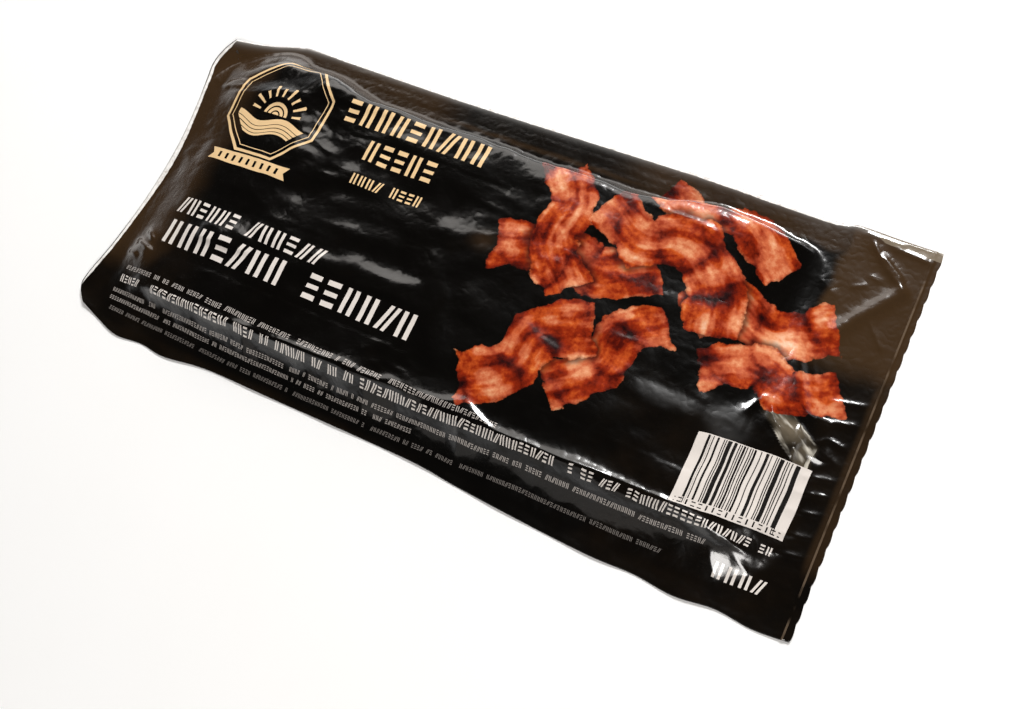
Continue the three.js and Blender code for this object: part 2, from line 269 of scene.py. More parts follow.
# %% Folds: x and y from, x and y to, height, half width
FOLDS = [
    # the far right corner
    (108.9, 58.8, 114.7, 52.2, 0.5, 0.9), (114.7, 52.2, 124.0, 45.5, 0.6, 0.9),
    (113.5, 54.8, 122.0, 48.7, 0.6, 0.7), (111.7, 47.4, 117.0, 46.6, 0.25, 0.6),
    (108.5, 42.0, 113.0, 44.3, 0.25, 0.6), (117.2, 33.6, 123.6, 26.1, 0.25, 0.5),
    (106.0, 60.6, 112.0, 60.2, 0.4, 0.5), (112.0, 60.4, 119.0, 60.4, 0.5, 0.5),
    (115.0, 58.6, 127.0, 57.4, 0.4, 0.6), (98, 42, 106, 37, 0.2, 0.9),
    # the crumple under the rashers' right end
    (94.7, -9.7, 99.0, -1.4, 0.6, 1.0), (98.5, -1.0, 104.5, -1.2, 0.4, 0.7),
    (101.0, -2.2, 104.1, -7.0, 0.6, 0.8), (104.1, -7.0, 109.8, -11.6, 0.6, 0.8),
    (109.8, -11.6, 121.5, -11.4, 0.6, 0.9), (110.5, -4.2, 113.6, -7.9, 0.5, 0.6),
    (113.6, -7.9, 111.6, -12.2, 0.5, 0.6), (116.0, -8.0, 119.5, -4.8, 0.5, 0.6),
    (119.5, -4.8, 125.0, -5.8, 0.5, 0.6), (106.2, -8.4, 113.5, -15.5, 0.5, 0.7),
    (111.0, -5.0, 112.5, -15.0, 0.5, 0.6), (113.0, -6.5, 125.5, -11.5, 0.5, 0.7),
    # across the middle, where one row of rashers ends
    (63.0, -15.4, 82.0, -14.4, 0.2, 2.4), (2, -14, 17, -10, 0.5, 2.6), (17, -10, 34, -15, 0.5, 2.6),
    (-33, -13.6, -21, -11, 0.6, 1.8), (-22, -11.4, -7, -11.6, 0.5, 1.4),
    (-76, -6.8, -59, -6.2, 0.7, 2.4), (-97, -18, -84, -14, 0.5, 2.2),
    (-84, -15, -72, -18, 0.5, 1.6),
    # the far left, over the badge and the gold marks
    (45.5, 41.9, 51.3, 41.5, 0.25, 0.7), (51.3, 41.5, 60.6, 41.4, 0.2, 0.5),
    (60.6, 41.4, 66.8, 39.8, 0.25, 0.6),
    (-118, 33, -106, 34.5, 0.4, 1.6), (-106, 34.5, -97, 37.8, 0.6, 2.0),
    (-99.8, 37.6, -82, 40.4, 0.6, 2.0), (-82, 44.5, -60, 44.8, 0.5, 1.6),
    (-66, 42.6, -43, 46.4, 0.3, 1.2), (-98, 54.6, -87, 54.8, 0.4, 1.2),
    (-66, 17.4, -45, 19, 0.3, 2.2), (-91, 19.5, -87, -0.6, 0.3, 1.6),
    (-124, 38, -111, 39.5, 0.4, 1.8),
    # the near left
    (-117.5, -24.9, -112.3, -28.4, 1.1, 0.8), (-119.5, -29.5, -110.8, -32.2, 1.4, 0.9),
    (-121.4, -34.1, -116.0, -35.2, 0.8, 0.7), (-95, -37.8, -90.5, -37.2, 0.4, 0.8),
    (-89.5, -33, -83, -32, 0.4, 1.0),
    # a small peak of the near ridge
    (18.6, -37.8, 11, -41.5, 0.6, 0.9), (18.6, -37.8, 26, -41.5, 0.6, 0.9),
    (18.6, -38.5, 20.6, -53, 0.6, 1.0), (18.6, -38, 17, -31, 0.3, 1.0),
    (18, -39, 15.5, -47, 0.3, 0.8),
    # pulls down the near slope
    (-101, -46, -104, -58, 0.4, 1.6), (-62, -46, -59, -57, 0.35, 1.8),
    (-30, -46, -33, -58, 0.3, 1.6),
    (46, -46, 49, -58, 0.35, 1.6), (76, -45, 73, -57, 0.4, 1.8), (86, -46.6, 93, -47.4, 0.4, 0.7),
    (82, -41.4, 92, -42.2, 0.5, 0.8), (91, -42.6, 99, -43.2, 0.6, 0.7),
    (97, -43.8, 104, -45.8, 0.6, 0.8),
    (100, -47, 108, -58, 0.5, 1.8), (106, -46, 115.5, -50.5, 0.5, 1.6),
    (122, -58.5, 129, -53.4, 0.3, 0.8),
]
PLEATS = [8.5, 2.0, -15.6, -20.6, -26.4, -33.4, -39.2]
PLEAT = dict(start=115.5, stop=126.0, drop=2.4, height=0.42, width=0.7)
CREST_ROUND = 0.3
LOW_ENDS = 0.25

folds = list(FOLDS)
for y in PLEATS:
    folds.append((PLEAT["start"], y - PLEAT["drop"], PLEAT["stop"], y,
                  PLEAT["height"], PLEAT["width"]))
print(len(folds), "folds")


def fold_height(x, y, fold):
    """A ridge with a sharp crest along a line, which dies out at both ends."""
    *line, height, width = fold
    ahead, left_of, past, length = beside(x, y, *line)
    off = np.sqrt(left_of**2 + past**2 + CREST_ROUND**2) - CREST_ROUND
    ends = np.minimum(smoothstep(-width, 3 * width, ahead),
                      smoothstep(-width, 3 * width, length - ahead))
    return height * (LOW_ENDS + (1 - LOW_ENDS) * ends) * np.exp(-off / width)


# %% The film pinched along the near edge
NEAR_RIDGE = dict(start=-108.0, stop=110.0, height=1.35, width=1.3)
NEAR_CREST = [(-110, -45.0), (-76, -44.7), (-30, -43.3), (-10, -43.0), (19, -40.2), (30, -42.6),
              (66, -41.8), (86, -41.6), (106, -44.6)]


def near_ridge(x, y):
    """The film pinched along the rashers' near edge: a wandering crest of changing height."""
    crest = np.interp(x, *zip(*NEAR_CREST)) + 0.7 * noise_field(x, 0 * x, 13, 1, 9.5)
    tall = NEAR_RIDGE["height"] * (0.85 + 0.4 * noise_field(x, 0 * x, 11, 1, 2.5))
    ends = smoothstep(NEAR_RIDGE["start"] - 6, NEAR_RIDGE["start"] + 10, x)
    ends = ends * smoothstep(NEAR_RIDGE["stop"] + 6, NEAR_RIDGE["stop"] - 6, x)
    off = np.sqrt((y - crest) ** 2 + CREST_ROUND**2) - CREST_ROUND
    return tall * ends * np.exp(-off / NEAR_RIDGE["width"])


print("near ridge, mm:", NEAR_RIDGE["stop"] - NEAR_RIDGE["start"], "long")


# %% Swells: broad soft waves of the film, x and y from, x and y to, height, half width
SWELLS = [
    # the fall away to the far left corner, and the slack beside it
    (-122, 46, -96, 52, -1.6, 9.0), (-112, 31, -78, 45, 0.7, 5.0), (-72, 44, -18, 45, 0.5, 4.0),
    (-60, 33, -10, 32, 0.4, 6.0),
    # under the rows of white marks
    (-98, -21, -66, -12, 0.8, 4.5), (-48, -15, -6, -12, 0.9, 4.0), (-10, -4, 4, -30, 0.6, 4.0),
    (-24, -2, -20, -30, -0.4, 4.0), (6, -9, 34, -15, 0.9, 4.5), (30, -26, 66, -24, 0.5, 6.0),
    # over the ends of the rashers
    (56, -13, 86, -16, 0.45, 3.8), (109, 27, 122, 45, 0.8, 2.4), (103, 14, 110, 27, 0.15, 3.0),
]


def swell_height(x, y, swell):
    """A low rounded ridge along a line."""
    *line, height, width = swell
    _, left_of, past, _ = beside(x, y, *line)
    return height * np.exp(-(left_of**2 + past**2) / width**2)


print(len(SWELLS), "swells")

# %% Shelves: flats that lean to the far side, x and y from, x and y to, height, reach
SHELVES = [
    (102.0, -7.0, 121.0, -12.0, 0.6, 5.0), (62.0, -16.5, 84.0, -16.0, 0.4, 5.5),
    (-76, -13.0, -58, -12.5, 1.3, 6.5), (-95, -21.5, -73, -21.0, 1.1, 5.5),
    (-33, -17.0, -7, -15.5, 1.0, 5.0), (-100, 33.5, -82, 36.0, 0.8, 5.0),
    (-81, 41.0, -50, 41.5, 0.8, 5.0), (-124, 35.0, -111, 36.5, 0.7, 4.5),
    (-120, -32.0, -111, -34.0, 0.6, 4.0), (-99, 50.5, -86, 50.5, 0.5, 4.0),
]
SHELF_DROP = 1.2


def shelf_height(x, y, shelf):
    """Rises slowly from the far side to a line, then drops away."""
    *line, height, reach = shelf
    ahead, beyond, _, length = beside(x, y, *line)
    beyond += 0.8 * noise_field(x, y, 6, 6, 28.0)
    rise = np.where(beyond > 0, np.clip(1 - beyond / reach, 0, 1), np.exp(beyond / SHELF_DROP))
    ends = smoothstep(-2, 3, ahead) * smoothstep(-2, 3, length - ahead)
    return height * rise * ends


print(len(SHELVES), "shelves")

# %% [markdown]
# ## The rest of the relief
# What is left has no single place: the lumps of the rashers, the small creases, the wrinkles
# of the border. Noise makes those, with each kind stretched as the real one is and kept to the
# part of the pack where it belongs. The border also lifts off the table along two edges.

# %% Lumps and creases
BULGE = dict(x=93.5, y=-12.0, half_x=8.0, half_y=5.5, height=0.45)
# Layers of noise: height, length along the pack, length across it, seed.
RASHER_LUMPS = [(0.8, 48, 15, 3.1), (0.55, 17, 9, 8.4), (0.30, 8, 6, 15.7)]
SLOPE_PULLS = [(0.7, 9, 16, 12.2), (0.4, 21, 6, 5.5)]
# Bands along the pack: y where each starts, is full, is full no more, and stops.
NEAR_SLOPE, FAR_SHOULDER = (-41, -47, -58, -64), (36, 43, 48, 54)


def layered(x, y, layers):
    return sum(height * noise_field(x, y, *waves) for height, *waves in layers)


def in_band(y, band):
    """1 in the middle of a band, 0 outside it."""
    start, full, full_no_more, stop = band
    return smoothstep(start, full, y) * smoothstep(stop, full_no_more, y)


def lumps(x, y):
    """The rashers under the film: long low waves, mostly along the pack."""
    return layered(x, y, RASHER_LUMPS)


def slope_waves(x, y):
    """Shallow pulls of the film down the near slope."""
    return in_band(y, NEAR_SLOPE) * layered(x, y, SLOPE_PULLS)


def crinkles(x, y):
    """Short sharp creases of the film, in patches."""
    ridges = 1 - np.abs(noise_field(x, y, 7, 4, 21.5)) * 2.2
    patches = smoothstep(-0.05, 0.35, noise_field(x, y, 24, 17, 40.2))
    return 0.16 * ridges * patches + 0.035 * noise_field(x, y, 3.2, 2.4, 60.9)


def gathers(x, y):
    """Short wrinkles across the far shoulder, where the film is drawn over the slab's edge."""
    band = in_band(y, FAR_SHOULDER) * smoothstep(45, 30, x)
    patches = smoothstep(-0.1, 0.3, noise_field(x, y, 22, 30, 18.6))
    return 0.22 * band * patches * noise_field(x - 0.5 * y, y, 2.6, 9, 44.4)


def flange_wrinkles(x, y):
    """Long shallow wrinkles of the far border, along the pack."""
    on_border = smoothstep(49, 53, y) * smoothstep(108, 96, x)
    return on_border * 0.07 * noise_field(x, y, 30, 1.7, 83.0)


# %% The lifted edges
LIFT_REACH = 9.0
LEFT_LIFT = dict(height=1.1, wave=90.0, crest=42.0)
NEAR_LIFT = dict(height=0.28, wave=31.0, crest=-84.0)
CORNER_LIFT = dict(height=1.6, reach=26.0)


def edge_lift(x, y):
    """How high the border stands off the table: waves of two edges, and one corner."""
    left, _, near, far = insets(x, y)

    def wave(at, lift):
        return (1 + np.cos(2 * math.pi * (at - lift["crest"]) / lift["wave"])) / 2

    def fall(distance):
        return np.clip(1 - distance / LIFT_REACH, 0, 1) ** 1.4

    at_left = LEFT_LIFT["height"] * wave(y, LEFT_LIFT) * fall(left)
    at_near = NEAR_LIFT["height"] * wave(x, NEAR_LIFT) * fall(near)
    corner_x, corner_y = CORNERS["far_left"]
    reach = np.clip(1 - np.hypot(x - corner_x, y - corner_y) / CORNER_LIFT["reach"], 0, 1)
    inmost = np.maximum(fall(left), fall(far))
    return np.hypot(at_left, at_near) + CORNER_LIFT["height"] * reach * inmost


print("lift of the far left corner, mm:", CORNER_LIFT["height"])

# %% The whole height
SEAL = dict(inset=2.4, half_width=0.5, height=0.25)
RIM_WIDTH = 2.5                       # the relief fades out this far from the rim
BORDER_CRINKLES = 0.25                # share of the small creases that the flat border has
BORDER_DENT, SLAB_DENT = 0.15, 0.8    # the relief dents the film no deeper than this


def film_height(x, y):
    """Height of the film's upper face, millimetres."""
    left, right, near, far = insets(x, y)
    inland = smoothstep(0, RIM_WIDTH, np.minimum(np.minimum(left, right), np.minimum(near, far)))
    slab = slab_height(x, y)
    relief = sum(fold_height(x, y, fold) for fold in folds)
    relief += BULGE["height"] * np.exp(-(((x - BULGE["x"]) / BULGE["half_x"]) ** 2)
                                       - ((y - BULGE["y"]) / BULGE["half_y"]) ** 2)
    relief += sum(swell_height(x, y, swell) for swell in SWELLS) + near_ridge(x, y)
    relief += sum(shelf_height(x, y, shelf) for shelf in SHELVES)
    relief += lumps(x, y) * (slab / SLAB_HEIGHT) + slope_waves(x, y)
    relief += crinkles(x, y) * (BORDER_CRINKLES + (1 - BORDER_CRINKLES) * slab / SLAB_HEIGHT)
    relief += flange_wrinkles(x, y) + gathers(x, y)
    seal = SEAL["height"] * np.exp(-(((right - SEAL["inset"]) / SEAL["half_width"]) ** 2))
    relief = np.maximum(relief, -BORDER_DENT - SLAB_DENT * slab / SLAB_HEIGHT)
    height = edge_lift(x, y) + BORDER_THICKNESS + slab + relief * inland + seal
    excess = np.maximum(height - TOP_LEVEL, 0)
    return np.minimum(height, TOP_LEVEL) + TOP_SPARE * np.tanh(excess / TOP_SPARE)


print("height in the middle, mm:", film_height(np.zeros(1), np.zeros(1)).round(2))

# %% [markdown]
# ## The film as a mesh
# A grid is the plain way to carry a height over a rectangle. The grid's own square becomes the
# pack's outline, and its columns are closer together towards the right end, where the folds
# are small. Extruding the rim down and inwards then closes the body underneath.

# %% The grid
COLUMNS, ROWS = 430, 204
UNDER_INSETS = (0.12, 2.5, 5.0, 7.5, 10.0)

bm = bmesh.new()
bmesh.ops.create_grid(bm, x_segments=COLUMNS, y_segments=ROWS, size=0.5)
film_mesh = bpy.data.meshes.new("pack_film")
bm.to_mesh(film_mesh)
bm.free()

place = np.empty(len(film_mesh.vertices) * 3)
film_mesh.vertices.foreach_get("co", place)
place = place.reshape(-1, 3)
u = np.interp(place[:, 0] + 0.5, (0, 0.79, 1), (0, 0.88, 1))
v = np.clip(place[:, 1] + 0.5, 0, 1)
place[:, :2] = footprint(u, v)
place[:, 2] = film_height(place[:, 0], place[:, 1])
film_mesh.vertices.foreach_set("co", (place * MM).ravel())
film_mesh.update()
print("film:", len(place), "vertices, top at", place[:, 2].max().round(2), "mm")

# %% The rim and the underside
bm = bmesh.new()
bm.from_mesh(film_mesh)
rim = [edge for edge in bm.edges if edge.is_boundary]


def extruded(edges):
    """Extrudes a loop of edges, and gives back its new vertices and edges."""
    made = bmesh.ops.extrude_edge_only(bm, edges=edges)["geom"]
    return ([g for g in made if isinstance(g, bmesh.types.BMVert)],
            [g for g in made if isinstance(g, bmesh.types.BMEdge)])


def push_in(vertices, inset):
    """Moves rim points to the given inset, as high as the lifted edge is there."""
    for vertex in vertices:
        x, y, _ = vertex.co / MM
        left, right, near, far = (float(d) for d in insets(np.array(x), np.array(y)))
        x += max(0, inset - left) - max(0, inset - right)
        y += max(0, inset - near) - max(0, inset - far)
        z = float(edge_lift(np.array(x), np.array(y)))
        vertex.co = (x * MM, y * MM, z * MM)


for inset in UNDER_INSETS:
    ring, rim = extruded(rim)
    push_in(ring, inset)
    bmesh.ops.remove_doubles(bm, verts=ring, dist=0.01 * MM)
    rim = [edge for edge in bm.edges if edge.is_boundary]
underside = bmesh.ops.contextual_create(bm, geom=rim)["faces"]
bmesh.ops.recalc_face_normals(bm, faces=bm.faces)
for face in bm.faces:
    face.smooth = True
    face.material_index = 0
for face in bm.faces:
    if face.normal.z < -0.5:
        face.material_index = 1
        face.smooth = False
bm.to_mesh(film_mesh)
bm.free()
film = bpy.data.objects.new("pack_film", film_mesh)
bpy.context.collection.objects.link(film)
print("film:", len(film_mesh.polygons), "faces,", len(underside), "underside")

# %% [markdown]
# ## The picture of rashers
# The upper film carries a picture of crisp rashers. It could be an image, but a procedural
# material stays sharp at any size. Each rasher is a band along a smooth line, as a real one is
# a strip. The mesh only carries where a point lies in its rasher: how far along, how far
# across, how deep inside, and how shaded. The material then paints lean and fat from those.

# %% Rashers: the middle line of each, its width, the length of its ruffles
LOWER_RASHERS = [
    dict(line=[(5, 13), (22, 18), (38, 14), (53, 22)], width=16, ruffle=15),
    dict(line=[(71, 13), (80, 21), (93, 18), (108, 26)], width=16, ruffle=16),
    dict(line=[(46, 50), (59, 45), (73, 48), (88, 38)], width=14, ruffle=14),
    dict(line=[(41, -23), (52, -13), (54, -1), (64, 6)], width=15, ruffle=14),
]
UPPER_RASHERS = [
    dict(line=[(11, 47), (21, 34), (20, 20), (31, 8)], width=15, ruffle=14),
    dict(line=[(33, 37), (46, 30), (60, 34), (73, 25), (77, 10)], width=17, ruffle=15),
    dict(line=[(14, -31), (27, -23), (30, -10), (44, -3)], width=18, ruffle=17),
    dict(line=[(80, -1), (93, 6), (104, 3), (116, 9)], width=14, ruffle=14),
]
print(len(LOWER_RASHERS), "lower rashers,", len(UPPER_RASHERS), "upper")

RASHER_REACH = 14.0
FAR_OUTSIDE = -9.0
GRAIN_GAP = 90                        # keeps the grain of one rasher apart from the next


def beside_rasher(here, line):
    """How far points are along a rasher's middle line and to the left of it, and its length."""
    away = np.hypot(here[:, None, 0] - line[None, :, 0], here[:, None, 1] - line[None, :, 1])
    nearest = away.argmin(axis=1)
    heading = np.gradient(line, axis=0)
    step = np.hypot(heading[:, 0], heading[:, 1]).mean()
    offset = here - line[nearest]
    turn = heading[nearest] / np.hypot(*heading[nearest].T)[:, None]
    ahead = (offset * turn).sum(axis=1) + nearest * step
    side = offset[:, 1] * turn[:, 0] - offset[:, 0] * turn[:, 1]
    return ahead, side, step * (len(line) - 1)


# %% Depth, grain and shade of the rashers
def rasher_fields(x, y, rashers):
    """For each place: how far along its rasher, across it, its depth inside it, its shade."""
    along_it, across_it, shade = np.zeros_like(x), np.zeros_like(x), np.ones_like(x)
    deepest = np.full_like(x, FAR_OUTSIDE)
    torn = 2.2 * noise_field(x, y, 10, 10, 52.0)
    rough_edge = 0.9 * noise_field(x, y, 4.5, 4.5, 71.0) + 0.5 * noise_field(x, y, 1.8, 1.8, 19.0)
    crumple = noise_field(x, y, 13, 13, 5.0)
    for index, rasher in enumerate(rashers):
        line = smooth_line(rasher["line"][0], rasher["line"][1:-1], rasher["line"][-1], 300)
        half = rasher["width"] / 2
        low_x, low_y = line.min(axis=0) - RASHER_REACH
        high_x, high_y = line.max(axis=0) + RASHER_REACH
        close = np.flatnonzero((x > low_x) & (x < high_x) & (y > low_y) & (y < high_y))
        ahead, side, length = beside_rasher(np.stack([x[close], y[close]], axis=1), line)
        wave = math.pi * (ahead + 0.4 * side) / rasher["ruffle"] + 2 * index + 0.6 * torn[close]
        depth = np.minimum(half - np.abs(side), np.minimum(ahead, length - ahead) + 2.0)
        depth = depth + rough_edge[close] + torn[close] * (1 if index % 2 else -1)
        depth = depth - 0.8 * np.exp(-(np.sin(wave) / 0.35) ** 2)
        hollow = (0.55 + 0.55 * crumple[close]) * (1 - np.abs(np.sin(wave)) ** 0.6)
        tone = 0.95 - hollow + 0.10 * torn[close] + 0.10 * rough_edge[close]
        deeper = depth > deepest[close]
        chosen = close[deeper]
        deepest[chosen], shade[chosen] = depth[deeper], tone[deeper]
        along_it[chosen], across_it[chosen] = ahead[deeper] + GRAIN_GAP * index, side[deeper]
    return np.stack([along_it, across_it, shade], axis=1), deepest


# %% [markdown]
# ## Where the films change
# Seen from above, three things change over the pack: the print stops short of the edge and
# leaves a strip of clear backing film, the film has dark meat or only more film behind it, and
# the print itself moves a little as the film is drawn into its folds. Handling has also left
# marks: two patches that are rubbed dull, and one crumpled patch. In that patch the pale
# creased film and its sheen are painted into the colour, and painted glints on its creases are
# paler still. Painting these by hand would need an image, so each is a number or a place worked
# out at every point of the mesh.

# %% The clear strip round the print
LEFT_STRIP = dict(width=1.2, more=0.9, middle=2.0, reach=17.0, stop=-54.0, far_stop=56.0)
FAR_STRIP = [(-128, 0.4), (-100, 0.1), (-85, 0.6), (50, 0.7), (75, 1.3), (97, 1.1), (103, 0.3),
             (107, 0.5), (113, 2.8), (130, 3.0)]
FAR_RIM = dict(clear=0.42, reach=0.75)


def print_depth(x, y):
    """How far inside the printed film's edge places are. Outside it only the backing shows."""
    left, right, near, far = insets(x, y)
    strip = LEFT_STRIP["width"] + LEFT_STRIP["more"] * np.exp(
        -(((y - LEFT_STRIP["middle"]) / LEFT_STRIP["reach"]) ** 2))
    strip *= (smoothstep(LEFT_STRIP["stop"], LEFT_STRIP["stop"] + 8, y)
              * smoothstep(LEFT_STRIP["far_stop"], LEFT_STRIP["far_stop"] - 6, y))
    places, widths = zip(*FAR_STRIP)
    return np.minimum(np.minimum(left - strip, far - np.interp(x, places, widths)),
                      np.minimum(right, near) + 1)


def far_rim(x, y):
    """How much of the rim's clear film shows through the print at the far edge."""
    return FAR_RIM["clear"] * np.exp(-insets(x, y)[3] / FAR_RIM["reach"])


print("strip at the left, mm:", LEFT_STRIP["width"], "to", LEFT_STRIP["width"] + LEFT_STRIP["more"])

# %% What lies behind the film
BEHIND_STRIP = [(-45, 0.62), (-30, 0.14), (20, 0.14), (40, 0.60)]     # x, light let through
BEHIND_BAND = dict(y=51.6, half_width=1.2, light=0.62)
SMEAR = dict(x=0.0, y=12.0, half_x=5.0, half_y=4.0, light=0.5)


def backing(x, y):
    """1 where dark meat lies behind the film, 0 where light comes through it."""
    wander = 1.5 * noise_field(x, y, 9, 9, 33.0)
    along_strip = np.interp(x, *zip(*BEHIND_STRIP))
    inner_band = BEHIND_BAND["light"] * np.exp(
        -(((y - BEHIND_BAND["y"] + 0.5 * wander) / BEHIND_BAND["half_width"]) ** 2))
    past_slab = smoothstep(1.0, 4.0, y - far_side(x) + wander)
    smear = SMEAR["light"] * np.exp(-(((x - SMEAR["x"]) / SMEAR["half_x"]) ** 2)
                                    - ((y - SMEAR["y"]) / SMEAR["half_y"]) ** 2)
    light = dict(
        far_strip=np.maximum(along_strip, inner_band) * past_slab,
        far_corner=smoothstep(100, 105, x + wander) * smoothstep(8, 24, y + wander),
        right_end=0.16 * smoothstep(109, 118, x + wander) * smoothstep(-50, -30, y),
        weld=0.5 * smoothstep(124.5, 127.5, x) * smoothstep(-50, -38, y),
        left_end=0.75 * smoothstep(-98, -116, x + 2 * wander) * smoothstep(-48, -30, y),
        near_edge=0.18 * smoothstep(-56, -60, y) * smoothstep(20, -20, x),
        near_right=0.13 * smoothstep(40, 75, x + wander) * smoothstep(0, -16, y + wander),
        near_left=0.12 * smoothstep(-70, -100, x + wander) * smoothstep(-16, -30, y + wander),
        smear=smear)
    return 1 - np.clip(np.stack(list(light.values())).max(axis=0), 0, 1)


print("light through the left end:", (1 - backing(np.array([-118.0]), np.zeros(1))).round(2))

# %% Marks of handling, with the painted sheen of the crumple, and the drawn print
# The crumpled patch: the film is creased there, and its sheen is painted pale into the film's
# colour.
CRUMPLE_MIDDLE = [(99, -1.0), (106, -5.5), (112, -10.5), (122, -15.5)]
CRUMPLE = dict(half_width=5.2, soft=1.0, start=99.0, stop=118.5)
RUBBED = [(73.5, -13.8, 9.5, 3.4), (93.0, -14.0, 7.0, 5.0)]      # middle and half width
NEAR_ROWS_BEND = [(-120, 0.8), (-61, -0.5), (-11, -0.6), (39, 0.6), (80, 1.0), (118, 3.0)]


def crumple_sheen_patch(x, y):
    """1 in the creased patch under the last rasher, where the film and its sheen are painted pale.
    """
    ragged = 1.0 * noise_field(x, y, 3.5, 3.5, 63.0)
    off = np.abs(y - np.interp(x, *zip(*CRUMPLE_MIDDLE))) + ragged
    inside = smoothstep(CRUMPLE["half_width"], CRUMPLE["half_width"] - CRUMPLE["soft"], off)
    start, stop = CRUMPLE["start"], CRUMPLE["stop"]
    return inside * smoothstep(start, start + 4, x) * smoothstep(stop, stop - 3.5, x + 0.8 * ragged)


def rubbed(x, y):
    """1 in the middle of the patches where the film is rubbed dull."""
    ragged = 1 + 0.5 * noise_field(x, y, 4, 4, 29.0)
    patches = [np.exp(-(((x - at_x) / half_x) ** 2 + ((y - at_y) / half_y) ** 2) ** 2)
               for at_x, at_y, half_x, half_y in RUBBED]
    return np.clip(ragged * sum(patches), 0, 1)


def drawn_print(x, y):
    """Where each point lies on the flat print, before the film was drawn over the slab."""
    fold = np.exp(-(((y + 43.5) / 2.5) ** 2))
    pull_x = 0.30 * noise_field(x, y, 8, 8, 91.0) + 0.40 * fold * noise_field(x, y, 3.5, 3, 14.0)
    pull_y = 0.30 * noise_field(x, y, 8, 8, 47.0) + 0.45 * fold * noise_field(x, y, 3.5, 3, 66.0)
    bent = np.maximum(smoothstep(-36, -42, y), smoothstep(80, 90, x) * smoothstep(-6, -12, y))
    bend = np.interp(x, *zip(*NEAR_ROWS_BEND))
    return np.stack([x + pull_x, y + pull_y - bent * bend, 0 * x], 1)


print(len(RUBBED), "rubbed patches")

# %% Fields on the mesh
places = np.empty(len(film_mesh.vertices) * 3)
film_mesh.vertices.foreach_get("co", places)
x, y = places.reshape(-1, 3)[:, 0] / MM, places.reshape(-1, 3)[:, 1] / MM


def keep_field(name, values):
    """Keeps a number or a vector for every point of the film."""
    kind = "FLOAT" if values.ndim == 1 else "FLOAT_VECTOR"
    field = film_mesh.attributes.new(name, kind, "POINT")
    field.data.foreach_set("value" if kind == "FLOAT" else "vector", values.astype(float).ravel())


keep_field("print_place", drawn_print(x, y))
keep_field("print_depth", print_depth(x, y))
keep_field("backing", backing(x, y))
for side, inset in zip(("left", "right"), insets(x, y)):
    keep_field(side + "_inset", inset)
keep_field("far_rim", far_rim(x, y))
keep_field("crumple_sheen_patch", crumple_sheen_patch(x, y))
keep_field("rubbed", rubbed(x, y))
for layer, rashers in (("lower", LOWER_RASHERS), ("upper", UPPER_RASHERS)):
    spot, depth = rasher_fields(x, y, rashers)
    keep_field(layer + "_rasher", spot)
    keep_field(layer + "_depth", depth)
    print(layer, "rashers cover", round(100 * float((depth > 0).mean()), 1), "% of the film")

# %% [markdown]
# ## A short way to write shader nodes
# Nodes can be placed and linked one by one, but a print is a long sum of small shapes. A helper
# that adds a node, links or sets its inputs, and hands back its output lets each shape be
# written as one line of arithmetic.


